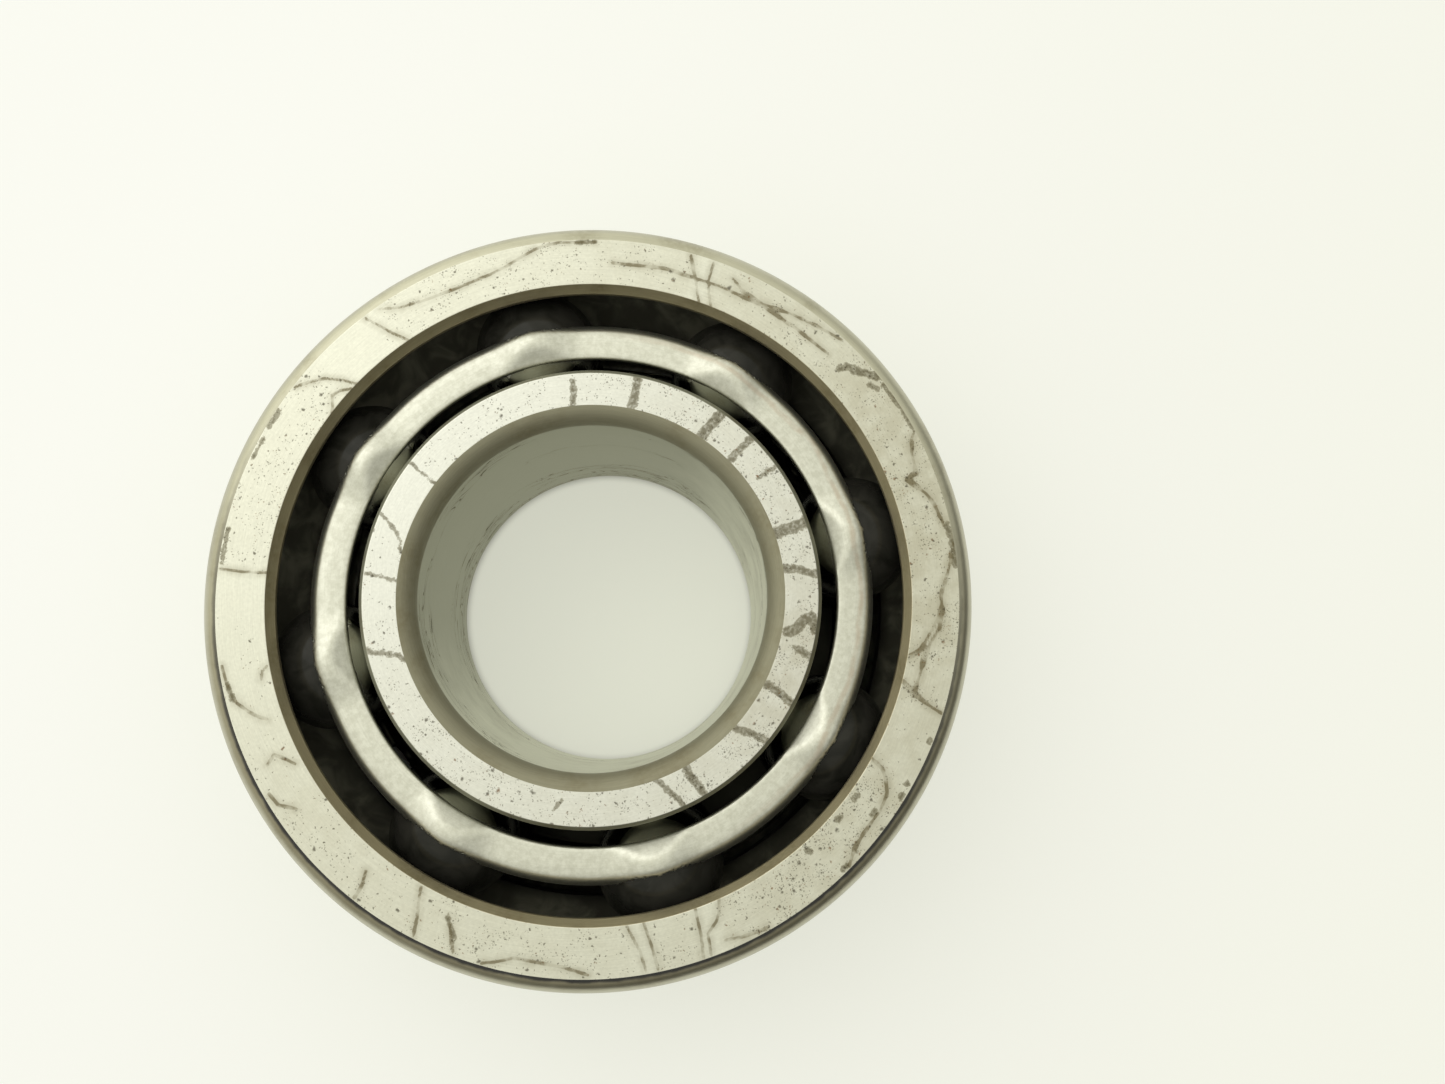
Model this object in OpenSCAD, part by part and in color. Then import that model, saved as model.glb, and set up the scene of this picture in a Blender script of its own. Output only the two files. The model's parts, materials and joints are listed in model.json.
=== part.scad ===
// Double-row angular contact ball bearing, open on both sides.
// Two rows of balls run back to back between one outer and one inner ring,
// and each row has its own pressed steel cage.
// The bearing axis is Z, and the origin is the centre of the bearing.

/* [Boundary] */
// Bore diameter, the shaft seat
bore_d = 55; // [54:0.5:56]
// Outside diameter, the housing seat
outside_d = 120; // [118:1:126]
// Width of both rings
ring_w = 49.2; // [49:0.1:52]

/* [Balls] */
// Diameter of a ball
ball_d = 20.638; // [20.2:0.001:20.8]
// Balls in each row
balls_per_row = 8; // [6:1:8]
// Diameter of the circle through the ball centres
pitch_d = 87.5; // [87:0.1:88]
// Distance between the ball centres of the two rows
row_spacing = 22; // [21.6:0.1:22.4]
// Angle between the load line and the plane of the row
contact_angle = 30; // [25:1:35]
// Gap between a ball and each raceway where the load line meets it
play = 0.05; // [0.03:0.01:0.1]

/* [Raceways] */
// Raceway groove radius as a share of the ball diameter
conformity = 0.52; // [0.515:0.005:0.53]
// Inner diameter of the outer ring's lips and of its centre rib
outer_shoulder_d = 98; // [97.4:0.1:98.6]
// Outer diameter of the inner ring's shoulders
inner_shoulder_d = 71.8; // [71:0.1:72.4]

/* [Ring edges] */
// How far the outer ring's rounded corner reaches in from the outside diameter
outer_corner_in = 2.55; // [2:0.05:3]
// How far the same corner reaches down from the face
outer_corner_down = 2.8; // [2:0.05:3]
// How far the bore's rounded corner reaches out from the bore
bore_corner_out = 2.6; // [2:0.05:3]
// How far the same corner reaches down from the face
bore_corner_down = 3.2; // [2.6:0.05:3.4]
// Chamfer on the inner ring's outer edge
shoulder_chamfer = 0.6; // [0.3:0.1:1]
// How far the bevel inside the outer ring's lip reaches out
lip_bevel_out = 1; // [0.5:0.1:1.2]
// How far the same bevel reaches down from the face
lip_bevel_down = 1.8; // [1:0.1:2]
// Depth of the lip below the face, where the recess behind it starts
lip_depth = 2.6; // [2.2:0.1:3]
// Diameter of the recess behind the lip
recess_d = 100.4; // [99.4:0.2:101.4]

/* [Cages] */
// Thickness of the cage sheet
sheet = 1.2; // [0.8:0.1:1.4]
// Gap between a ball and its pocket
pocket_gap = 0.2; // [0.1:0.05:0.3]
// Diameter of the cage's inner rim
cage_rim_d = 77.4; // [76.6:0.1:78]
// Outside diameter of the cage's skirt between the balls
skirt_d = 89.6; // [88:0.1:89.8]
// Outside radius of the bend from the web to the skirt
bend_r = 1.7; // [1.6:0.1:2.6]
// Depth of the cage's flat web below the ring faces
web_depth = 3.6; // [3.2:0.1:4]
// Diameter of the outer edge of the seats pressed over the balls
seat_edge_d = 90.6; // [90:0.1:91.6]
// How far the seats stay back from the inner rim
seat_setback = 0.2; // [0.1:0.1:0.6]
// How far the claws reach past the ball centres
claw_reach = 4.5; // [3:0.1:5.5]
// Width of the notch that parts two claws
notch_w = 5; // [3:0.5:6]

/* [Hidden] */
BALLS = [1 : balls_per_row];

$fn = 128;
slack = 1;                            // overshoot of every cut past the surface it opens
half_w = ring_w / 2;
bore_r = bore_d / 2;
outside_r = outside_d / 2;
outer_shoulder_r = outer_shoulder_d / 2;
inner_shoulder_r = inner_shoulder_d / 2;
ball_r = ball_d / 2;
pitch_r = pitch_d / 2;
row_z = row_spacing / 2;
ball_step = 360 / balls_per_row;
groove_r = conformity * ball_d;
groove_shift = groove_r - ball_r - play;   // from the ball centre to the groove centre
pocket_r = ball_r + pocket_gap;
rim_r = cage_rim_d / 2;
skirt_r = skirt_d / 2;
seat_edge_r = seat_edge_d / 2;
web_z = half_w - web_depth;
claw_z = row_z - claw_reach;

// Radius of the arc that is tangent to a cylinder and reaches in by a and down by b
function corner_arc_r(a, b) = (a * a + b * b) / (2 * a);

// Both ends of a ring section: what is drawn for the upper face is repeated on the lower one
module both_ends() {
    children();
    mirror([0, 1]) children();
}

// What a rounded corner takes off a ring of outer radius r at the upper face
module outer_corner_cut(r, a, b) {
    arc_r = corner_arc_r(a, b);
    difference() {
        translate([r - a, half_w - b]) square([a + slack, b + slack]);
        translate([r - arc_r, half_w - b]) circle(arc_r);
    }
}

// The same for a bore of radius r
module bore_corner_cut(r, a, b) {
    arc_r = corner_arc_r(a, b);
    difference() {
        translate([r - slack, half_w - b]) square([a + slack, b + slack]);
        translate([r + arc_r, half_w - b]) circle(arc_r);
    }
}

// Groove of the outer ring: the load line runs outward and towards the centre rib
module outer_groove() {
    translate([
        pitch_r - groove_shift * cos(contact_angle),
        row_z + groove_shift * sin(contact_angle)
    ]) circle(groove_r);
}

// Groove of the inner ring: the load line runs inward and towards the face
module inner_groove() {
    translate([
        pitch_r + groove_shift * cos(contact_angle),
        row_z - groove_shift * sin(contact_angle)
    ]) circle(groove_r);
}

// Bevel that opens the lip towards the face
module lip_bevel_cut() {
    polygon([
        [outer_shoulder_r - slack, half_w - lip_bevel_down],
        [outer_shoulder_r, half_w - lip_bevel_down],
        [outer_shoulder_r + lip_bevel_out, half_w],
        [outer_shoulder_r + lip_bevel_out, half_w + slack],
        [outer_shoulder_r - slack, half_w + slack]
    ]);
}

// Recess between the lip and the raceway
module lip_recess_cut() {
    translate([outer_shoulder_r - slack, row_z])
        square([recess_d / 2 - outer_shoulder_r + slack, half_w - lip_depth - row_z]);
}

module outer_ring() {
    color([0.78, 0.77, 0.73])
        rotate_extrude()
            difference() {
                translate([outer_shoulder_r, -half_w])
                    square([outside_r - outer_shoulder_r, ring_w]);
                both_ends() {
                    outer_corner_cut(outside_r, outer_corner_in, outer_corner_down);
                    lip_bevel_cut();
                    lip_recess_cut();
                    outer_groove();
                }
            }
}

// Chamfer on the inner ring's outer edge
module shoulder_chamfer_cut() {
    polygon([
        [inner_shoulder_r - shoulder_chamfer, half_w],
        [inner_shoulder_r, half_w - shoulder_chamfer],
        [inner_shoulder_r + slack, half_w - shoulder_chamfer],
        [inner_shoulder_r + slack, half_w + slack],
        [inner_shoulder_r - shoulder_chamfer, half_w + slack]
    ]);
}

module inner_ring() {
    color([0.82, 0.81, 0.77])
        rotate_extrude()
            difference() {
                translate([bore_r, -half_w]) square([inner_shoulder_r - bore_r, ring_w]);
                both_ends() {
                    bore_corner_cut(bore_r, bore_corner_out, bore_corner_down);
                    shoulder_chamfer_cut();
                    inner_groove();
                }
            }
}

// Places its children at every ball of the upper row
module at_balls() {
    for (i = BALLS)
        rotate(ball_step * (i - 1)) translate([pitch_r, 0, row_z]) children();
}

// Sheet section of the cage between two balls: flat web, bend and skirt
module cage_section() {
    bend_centre_r = skirt_r - bend_r;
    bend_centre_z = web_z - bend_r;
    translate([rim_r, web_z - sheet]) square([bend_centre_r - rim_r, sheet]);
    translate([bend_centre_r, bend_centre_z])
        intersection() {
            difference() {
                circle(bend_r);
                circle(bend_r - sheet);
            }
            square(bend_r);
        }
    translate([skirt_r - sheet, claw_z]) square([sheet, bend_centre_z - claw_z]);
}

// Seats pressed over the balls, trimmed near the rim and at the seat's outer edge
module ball_seats() {
    seat_h = pocket_r + sheet;
    intersection() {
        at_balls() sphere(seat_h);
        translate([0, 0, web_z - sheet])
            difference() {
                cylinder(r = seat_edge_r, h = seat_h);
                translate([0, 0, -slack]) cylinder(r = rim_r + seat_setback, h = seat_h + 2 * slack);
            }
    }
}

// Notches that open the lower edge of the skirt midway between two balls
module claw_notches() {
    notch_r = notch_w / 2;
    for (i = BALLS)
        rotate(ball_step * (i - 0.5)) translate([skirt_r - 2 * sheet, 0, claw_z + notch_r]) {
            rotate([0, 90, 0]) cylinder(r = notch_r, h = 3 * sheet);
            translate([0, -notch_r, -notch_r - slack]) cube([3 * sheet, notch_w, notch_r + slack]);
        }
}

module cage_upper() {
    color([0.72, 0.72, 0.70])
        difference() {
            union() {
                rotate_extrude() cage_section();
                ball_seats();
            }
            at_balls() sphere(pocket_r);
            claw_notches();
        }
}

module cage_lower() {
    mirror([0, 0, 1]) cage_upper();
}

// Ball number i of the row whose centres lie at height z
module ball(i, z) {
    color([0.62, 0.62, 0.62])
        rotate(ball_step * (i - 1)) translate([pitch_r, 0, z]) sphere(ball_r);
}

outer_ring();
inner_ring();
cage_upper();
cage_lower();
for (i = BALLS) {
    ball(i, row_z);
    ball(i, -row_z);
}
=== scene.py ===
import json
import math

import bpy
import numpy as np
from mathutils import Euler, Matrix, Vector


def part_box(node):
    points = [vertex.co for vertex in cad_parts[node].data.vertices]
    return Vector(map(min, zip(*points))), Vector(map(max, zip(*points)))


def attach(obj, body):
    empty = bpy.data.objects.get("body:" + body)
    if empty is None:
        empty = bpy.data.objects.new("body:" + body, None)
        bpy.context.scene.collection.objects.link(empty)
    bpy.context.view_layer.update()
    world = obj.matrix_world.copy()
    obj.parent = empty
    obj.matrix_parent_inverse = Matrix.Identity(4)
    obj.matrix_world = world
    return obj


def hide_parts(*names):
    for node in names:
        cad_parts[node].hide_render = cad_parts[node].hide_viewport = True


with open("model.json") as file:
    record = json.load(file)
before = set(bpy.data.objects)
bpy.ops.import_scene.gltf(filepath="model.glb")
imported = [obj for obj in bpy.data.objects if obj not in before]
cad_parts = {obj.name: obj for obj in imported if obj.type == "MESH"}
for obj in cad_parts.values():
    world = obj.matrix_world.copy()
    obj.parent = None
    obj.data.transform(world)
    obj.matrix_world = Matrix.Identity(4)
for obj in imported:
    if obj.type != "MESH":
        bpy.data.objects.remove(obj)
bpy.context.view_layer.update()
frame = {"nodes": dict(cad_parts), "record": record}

MM = 0.001

# ---------------------------------------------------------------- measures of the part, in millimetres

ring_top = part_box("outer_ring")[1] / MM
ball_low, ball_high = (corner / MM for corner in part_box("ball_upper_1"))
mounts = {m["name"]: m for m in frame["record"]["mounts"]}
BALL_COUNT = sum(name.startswith("ball_upper_") for name in frame["nodes"])
HALF_W = ring_top.z
OUTSIDE_R = ring_top.x
BORE_R = mounts["shaft_bore"]["dims"]["r_mm"]
BALL_R = (ball_high.z - ball_low.z) / 2
PITCH_R = (ball_high.x + ball_low.x) / 2
ROW_Z = (ball_high.z + ball_low.z) / 2
STEP = math.tau / BALL_COUNT

CONTACT = math.radians(30)
CONFORMITY = 0.52             # groove radius as a share of the ball's diameter
PLAY = 0.05                   # between a ball and each raceway
GROOVE_R = 2 * CONFORMITY * BALL_R
GROOVE_SHIFT = GROOVE_R - BALL_R - PLAY
OUTER_SHOULDER_R = 49.0
INNER_SHOULDER_R = 35.9
RECESS_R = 50.2
LIP_DEPTH = 2.6
LIP_BEVEL = (1.0, 1.8)        # out, down
OUTER_CORNER = (2.55, 2.8)    # in, down
BORE_CORNER = (2.6, 3.2)      # out, down
SHOULDER_CHAMFER = 0.6

SHEET = 1.2
POCKET_GAP = 0.25
POCKET_R = BALL_R + POCKET_GAP
RIM_R = 38.7
SKIRT_R = 44.8
BEND_R = 1.9
INNER_BEND_R = 0.6
WEB_DEPTH = 3.6
WEB_Z = HALF_W - WEB_DEPTH
CROWN, CROWN_FROM_R = 0.045, 41.0   # how the web droops towards its outer edge
SEAT_RISE = 1.6               # how far the web rises over a ball
SEAT_SWELL = 0.6              # how far its outer edge swells there
SEAT_HALF_ANGLE = math.radians(11)
SEAT_SLOPE = math.radians(30)  # of the web from the straight rim up to the seat
RIM_FLAT = 0.15               # width of the straight rim before that slope
SLOPE_BLEND = 0.5
SEAT_HANG = 1.8               # how far the seats' overhang reaches below the web
OVERHANG_GAP = 0.05
OVERHANG_BLEND = 0.8
CLAW_REACH = 4.5
CLAW_Z = ROW_Z - CLAW_REACH
NOTCH_R = 2.5

# ---------------------------------------------------------------- camera

camera = bpy.data.objects.new("camera", bpy.data.cameras.new("camera"))
bpy.context.scene.collection.objects.link(camera)
bpy.context.scene.camera = camera
camera.data.lens = 29.14
camera.data.sensor_width = 36.0
camera.data.clip_start = 0.01
camera.location = Vector((9.39, -18.81, 206.07)) * MM
camera.rotation_euler = Euler([math.radians(a) for a in (7.591, -2.079, -14.177)])

# ---------------------------------------------------------------- shading helpers


class Shader:
    """A principled material and short names for the nodes that feed it."""

    def __init__(self, name, **values):
        self.material = bpy.data.materials.new(name)
        self.material.use_nodes = True
        self.tree = self.material.node_tree
        self.tree.nodes.clear()
        output = self.tree.nodes.new("ShaderNodeOutputMaterial")
        self.bsdf = self.tree.nodes.new("ShaderNodeBsdfPrincipled")
        self.tree.links.new(self.bsdf.outputs[0], output.inputs[0])
        for key, value in values.items():
            self.bsdf.inputs[key.replace("_", " ")].default_value = value
        place = self.add("ShaderNodeTexCoord").outputs["Object"]
        self.place = self.vector("SCALE", place, scale=1 / MM)   # millimetres
        self.x, self.y, self.z = self.split(self.place)
        square = self.math("ADD", self.math("POWER", self.x, 2), self.math("POWER", self.y, 2))
        self.r = self.math("SQRT", square)

    def add(self, kind, **settings):
        node = self.tree.nodes.new(kind)
        for key, value in settings.items():
            setattr(node, key, value)
        return node

    def feed(self, socket, value):
        if isinstance(value, bpy.types.NodeSocket):
            self.tree.links.new(value, socket)
        elif isinstance(value, (tuple, list)) and len(value) == 3 and socket.type == "RGBA":
            socket.default_value = (*value, 1)
        else:
            socket.default_value = value

    def math(self, operation, *values):
        node = self.add("ShaderNodeMath", operation=operation)
        for socket, value in zip(node.inputs, values):
            self.feed(socket, value)
        return node.outputs[0]

    def vector(self, operation, *values, scale=None):
        node = self.add("ShaderNodeVectorMath", operation=operation)
        for socket, value in zip(node.inputs, values):
            self.feed(socket, value)
        if scale is not None:
            self.feed(node.inputs["Scale"], scale)
        return node.outputs[0]

    def split(self, value):
        node = self.add("ShaderNodeSeparateXYZ")
        self.feed(node.inputs[0], value)
        return node.outputs

    def join(self, *values):
        node = self.add("ShaderNodeCombineXYZ")
        for socket, value in zip(node.inputs, values):
            self.feed(socket, value)
        return node.outputs[0]

    def attribute(self, name):
        return self.add("ShaderNodeAttribute", attribute_name=name).outputs["Fac"]

    def noise(self, scale, detail=2.0, rough=0.5, at=None, distort=0.0, colour=False):
        node = self.add("ShaderNodeTexNoise")
        self.feed(node.inputs["Vector"], at if at is not None else self.place)
        self.feed(node.inputs["Scale"], scale)
        self.feed(node.inputs["Detail"], detail)
        self.feed(node.inputs["Roughness"], rough)
        self.feed(node.inputs["Distortion"], distort)
        return node.outputs["Color" if colour else "Fac"]

    def cells(self, scale, at):
        """Flat Voronoi cells: distance to the nearest point, and a random colour for each cell."""
        node = self.add("ShaderNodeTexVoronoi", voronoi_dimensions="2D")
        self.feed(node.inputs["Vector"], at)
        self.feed(node.inputs["Scale"], scale)
        return node.outputs["Distance"], node.outputs["Color"]

    def step(self, value, low, high, to_low=0.0, to_high=1.0, smooth=True):
        """Rises from to_low to to_high as value goes from low to high."""
        node = self.add("ShaderNodeMapRange", interpolation_type="SMOOTHSTEP" if smooth else "LINEAR")
        for socket, number in zip(node.inputs, (value, low, high, to_low, to_high)):
            self.feed(socket, number)
        return node.outputs[0]

    def mix(self, factor, a, b):
        node = self.add("ShaderNodeMix", data_type="RGBA")
        self.feed(node.inputs["Factor"], factor)
        self.feed(node.inputs[6], a)
        self.feed(node.inputs[7], b)
        return node.outputs[2]

    def times(self, *values):
        out = values[0]
        for value in values[1:]:
            out = self.math("MULTIPLY", out, value)
        return out

    def either(self, *values):
        out = values[0]
        for value in values[1:]:
            out = self.math("MAXIMUM", out, value)
        return out

    def towards(self, angle):
        """How far the place lies from the axis in the direction of this angle, in mm."""
        return self.math("ADD", self.times(self.x, math.cos(angle)), self.times(self.y, math.sin(angle)))

    def round_grain(self, across, along):
        """A place whose noise runs round the axis: fine across the radius and height, long round it."""
        turn = self.vector("NORMALIZE", self.join(self.x, self.y, 0.0))
        turn_x, turn_y, _ = self.split(turn)
        return self.join(
            self.math("ADD", self.times(turn_x, along), self.times(self.r, across)),
            self.math("SUBTRACT", self.times(turn_y, along), self.times(self.r, across)),
            self.times(self.z, across),
        )

    def bump(self, height, distance, strength):
        node = self.add("ShaderNodeBump")
        self.feed(node.inputs["Strength"], strength)
        self.feed(node.inputs["Distance"], distance * MM)
        self.feed(node.inputs["Height"], height)
        self.feed(self.bsdf.inputs["Normal"], node.outputs[0])

    def set(self, **values):
        for key, value in values.items():
            self.feed(self.bsdf.inputs[key.replace("_", " ")], value)


# ---------------------------------------------------------------- stains, as strokes in polar coordinates

# Tide lines are points (angle in degrees, radius in mm). Blots and streaks start with their half width.
STROKE_PHASE = 13.9   # the angles below are counted from a line this far before +X
FAR_FACE_TURN = 2.1   # radians: the far face has its own turn of the marks
FAR_AWAY = 9.0        # distance where there is no stroke
OUTER_TIDES = (
    ((0, 54.7), (3, 55.7), (5.5, 56.6), (8, 57.3)),
    ((11, 56.4), (15, 55.8), (17, 54.9), (18.5, 53.9), (20, 53.0), (20.5, 53.9), (20.6, 54.7), (24, 55.3),
     (26, 56.3), (27, 57.3)),
    ((46, 57.0), (50, 56.2), (55, 55.2), (60, 54.1), (64, 54.5), (66.5, 55.7)),
    ((46, 53.8), (53, 53.7), (60, 53.8), (68, 53.7), (78, 53.9), (87, 53.6)),
    ((70.4, 57), (70.2, 54), (69.4, 52), (68, 49.9)),
    ((74.3, 57), (72.5, 53.7), (70.5, 50)),
    ((90, 57), (96, 57.2), (99, 56.8), (102, 55.8), (105, 54.7), (108, 54.1), (114, 53.8), (120, 54.3),
     (124, 55.3), (127, 57)),
    ((129.5, 57), (128.6, 55), (127.5, 52.5), (126, 50)),
    ((145, 57.1), (143.2, 56), (141, 54.3), (139.3, 52), (138.2, 50)),
    ((139.5, 50.1), (141, 51.2), (142.5, 51.7), (144, 50.5), (145, 50)),
    ((176, 57.2), (176.2, 53.5), (176.1, 50)),
    ((191, 57), (194, 56.7), (197, 56), (199, 54.6), (200.5, 53.2), (201.2, 52.3)),
    ((192.5, 50.4), (193.2, 51.2), (194.5, 51.6)),
    ((210, 51.2), (208, 52.4), (207, 53.4), (208, 54.8)),
    ((212, 56.6), (214.2, 56.3), (216.3, 54.4)),
    ((232.5, 57), (232.2, 55), (231.3, 53)),
    ((243, 57), (242.2, 54.5), (241, 52), (240.3, 50.4)),
    ((249.5, 57), (248.3, 55), (246.8, 52.6)),
    ((254, 57.1), (256.5, 56.2), (258.5, 55.3), (262, 55.4), (266, 55.7), (270, 56.8)),
    ((278.7, 57), (278.2, 54), (276.5, 50.1)),
    ((280.5, 57), (280.2, 54), (279.5, 50.1)),
    ((287.5, 57.2), (288.2, 54), (288.6, 50)),
    ((288.7, 57.2), (289.3, 54.1), (291.3, 52.8), (292.3, 51.6), (293, 50)),
    ((291.5, 55.9), (294, 56.5), (298, 57)),
    ((313.5, 57.1), (316, 55.9), (319, 55.4), (323, 55.3), (326, 54.8), (328, 53.3), (329, 51.9),
     (329.6, 50)),
    ((341, 57.2), (341.6, 55), (342.3, 53.4), (343.2, 51.6), (344.3, 50.1)),
    ((342.5, 52.2), (346, 52.4), (349, 52.6), (351.5, 53.2), (354, 54.3), (357, 54.7), (360, 54.7)),
    ((348.6, 50.1), (350.5, 52), (353, 52.9), (356, 54.2), (358, 54.6)),
)
OUTER_BLOTS = (
    (0.35, ((4.5, 57.1), (8, 57.2), (11, 56.9))),
    (0.55, ((37.6, 57.2), (39.5, 55.9), (40.6, 54.9))),
    (0.45, ((40.2, 55.6), (42.2, 54.6), (42.6, 53.4))),
    (0.30, ((36.0, 56.0), (37.4, 55.4))),
    (0.20, ((27, 57.3), (31, 57.3), (36, 57.2))),
    (0.22, ((90, 57.1), (93, 57))),
    (0.28, ((149.5, 57), (152.5, 57))),
    (0.18, ((154.5, 56.9), (158, 57))),
    (0.22, ((169.5, 57.1), (175, 57))),
    (0.25, ((194, 56.6), (196.5, 56.4))),
    (0.24, ((246.5, 52.4), (249, 55.2))),
    (0.40, ((310, 51.2), (310.4, 51.3))),
    (0.36, ((317.5, 51.3), (318, 51.1))),
    (0.42, ((322, 51.1), (322.6, 51.2))),
    (0.26, ((321.6, 54.6), (322.6, 54.7))),
    (0.30, ((326.6, 56.8), (327, 56.8))),
    (0.30, ((328.8, 56.5), (329, 56.6))),
    (0.28, ((336.2, 56.9), (336.9, 56.9))),
    (0.30, ((312.6, 56.9), (313.4, 56.8))),
)
INNER_STREAKS = (
    (0.50, ((5, 35.3), (6, 33.5), (7.2, 32), (7.6, 30.1))),
    (0.80, ((18.7, 35.3), (18.3, 33), (18.6, 30))),
    (0.48, ((44.7, 35.3), (44.8, 33), (44.6, 30))),
    (0.70, ((54.8, 35.3), (55.4, 33), (55.6, 30))),
    (0.22, ((35, 35.1), (35.3, 33.5), (35.2, 31.8))),
    (0.55, ((78.6, 35.3), (78.4, 33), (78.6, 30))),
    (0.38, ((95.6, 34), (95.8, 32), (96.2, 30))),
    (0.10, ((143.9, 35.3), (144.4, 33), (144.8, 30))),
    (0.14, ((159, 35.3), (160, 33.8), (162, 32), (164.5, 30.8), (167.5, 30.3))),
    (0.16, ((174.5, 34.8), (175, 33), (175.6, 31), (176, 30))),
    (0.26, ((194, 35.3), (195.6, 34), (196.3, 32.3), (197.5, 31), (199.3, 30))),
    (0.10, ((260.3, 33.2), (261.2, 32.3), (262.3, 31.6))),
    (0.34, ((293.8, 35), (292.3, 33), (291, 31.5), (289.8, 30.2))),
    (0.50, ((299.6, 35.1), (299.2, 33), (298.6, 31.5), (299, 30.1))),
    (0.42, ((320, 35.2), (319.3, 33.2), (318, 31.5), (317, 30.2))),
    (0.50, ((331.2, 35.3), (332, 33.5), (332.5, 32), (332.8, 30.1))),
    (0.45, ((343.8, 35.3), (344.6, 33.8), (345, 32.8))),
    (0.70, ((351, 35.1), (354, 34.5), (353, 33.2), (349.5, 32), (349, 31))),
)
# Each entry: angle in degrees, how brown the face is there, how many specks it has.
OUTER_SOIL = (
    (0, 0.75, 0.6), (20, 0.70, 0.6), (40, 0.65, 0.5), (44, 0.45, 0.4), (60, 0.40, 0.3),
    (68.5, 0.35, 0.3), (70, 0.0, 0.0), (72, 0.0, 0.0), (73.5, 0.3, 0.2), (88, 0.25, 0.3),
    (92, 0.12, 0.4), (126, 0.12, 0.4), (129, 0.0, 0.0), (139, 0.0, 0.0), (143, 0.12, 0.4),
    (175, 0.10, 0.5), (177, 0.0, 0.0), (192, 0.05, 0.1), (207, 0.20, 0.1), (218, 0.30, 0.3),
    (232, 0.28, 0.3), (260, 0.22, 0.5), (276, 0.22, 0.5), (278, 0.0, 0.0), (280, 0.0, 0.0),
    (281, 0.25, 0.4), (287, 0.25, 0.4), (288.5, 0.0, 0.0), (291, 0.02, 0.0), (293, 0.35, 0.6),
    (310, 0.50, 0.9), (328, 0.60, 1.0), (330, 0.50, 0.05), (340, 0.50, 0.05), (342, 0.65, 0.8),
    (360, 0.75, 0.6),
)
INNER_SOIL = (
    (0, 0.40, 0.7), (30, 0.30, 0.8), (58, 0.25, 0.7), (80, 0.12, 0.5), (97, 0.06, 0.4),
    (140, 0.06, 0.3), (145, 0.0, 0.0), (160, 0.0, 0.0), (172, 0.06, 0.2), (180, 0.0, 0.1),
    (196, 0.10, 0.3), (215, 0.15, 0.6), (260, 0.22, 0.6), (290, 0.28, 0.7), (312, 0.35, 0.8),
    (316, 0.55, 1.0), (331, 0.60, 0.4), (345, 0.70, 1.0), (360, 0.40, 0.7),
)


def stroke_distance(angle, radius, strokes):
    """Distance in mm from each point to the nearest stroke's edge. Strokes are (half width, points)."""
    nearest = np.full(len(angle), FAR_AWAY)
    x, y = radius * np.cos(angle), radius * np.sin(angle)
    for half, points in strokes:
        for (a0, r0), (a1, r1) in zip(points, points[1:]):
            a0, a1 = math.radians(a0 - STROKE_PHASE), math.radians(a1 - STROKE_PHASE)
            ax, ay = r0 * math.cos(a0), r0 * math.sin(a0)
            bx, by = r1 * math.cos(a1), r1 * math.sin(a1)
            dx, dy = bx - ax, by - ay
            t = np.clip(((x - ax) * dx + (y - ay) * dy) / (dx * dx + dy * dy), 0, 1)
            nearest = np.minimum(nearest, np.hypot(x - ax - t * dx, y - ay - t * dy) - half)
    return nearest


def paint(mesh, tides, blots, soil):
    """Stores on each vertex its distance from the tide lines and blots, and how soiled the ring is there."""
    co = np.zeros(len(mesh.vertices) * 3)
    mesh.vertices.foreach_get("co", co)
    x, y, z = co.reshape(-1, 3).T / MM
    angle = np.where(z > 0, np.arctan2(y, x), FAR_FACE_TURN - np.arctan2(y, x))
    radius = np.hypot(x, y)
    degrees = np.degrees(angle) + STROKE_PHASE
    stops = np.array(soil).T
    layers = {
        "tide": stroke_distance(angle, radius, tides),
        "blot": stroke_distance(angle, radius, blots),
        "soil": np.interp(degrees % 360, stops[0], stops[1]),
        "speck": np.interp(degrees % 360, stops[0], stops[2]),
    }
    for name, values in layers.items():
        mesh.attributes.new(name, "FLOAT", "POINT").data.foreach_set("value", values.astype(np.float32))


# ---------------------------------------------------------------- lathed rings

SEGMENTS = 960
EDGE_BREAK = 0.12
RIB_BREAK = 0.03
EDGE_SUPPORT = 1.5    # distance of the support points from a corner, as a share of its break
BREAK_STEPS = (0, 0.25, 0.5, 0.75, 1)
CORNER_STEPS = 12
GROOVE_STEPS = 28
OUTER_FACE_STEPS = 24
INNER_FACE_STEPS = 18


def arc(centre, radius, start, end, count):
    angles = np.radians(np.linspace(start, end, count))
    return [(centre[0] + radius * math.cos(a), centre[1] + radius * math.sin(a)) for a in angles]


def corner_arc(edge_r, side, reach):
    """Rounded corner, tangent to the cylinder, up to the face. side is +1 outside and -1 in a bore."""
    a, b = reach
    radius = (a * a + b * b) / (2 * a)
    centre = (edge_r - side * radius, HALF_W - b)
    end = math.degrees(math.asin(b / radius))
    points = arc(centre, radius, 0, end, CORNER_STEPS)
    return points if side > 0 else [(2 * centre[0] - r, z) for r, z in points]


def groove(side, r_from, r_to):
    """Raceway arc of the upper row, from radius r_from above the ball to r_to below it."""
    shift = side * GROOVE_SHIFT
    centre = (PITCH_R - shift * math.cos(CONTACT), ROW_Z + shift * math.sin(CONTACT))
    high = math.degrees(math.acos(side * (r_from - centre[0]) / GROOVE_R))
    low = -math.degrees(math.acos(side * (r_to - centre[0]) / GROOVE_R))
    points = arc((0, 0), GROOVE_R, high, low, GROOVE_STEPS)
    return [(centre[0] + side * r, centre[1] + z) for r, z in points]


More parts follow.
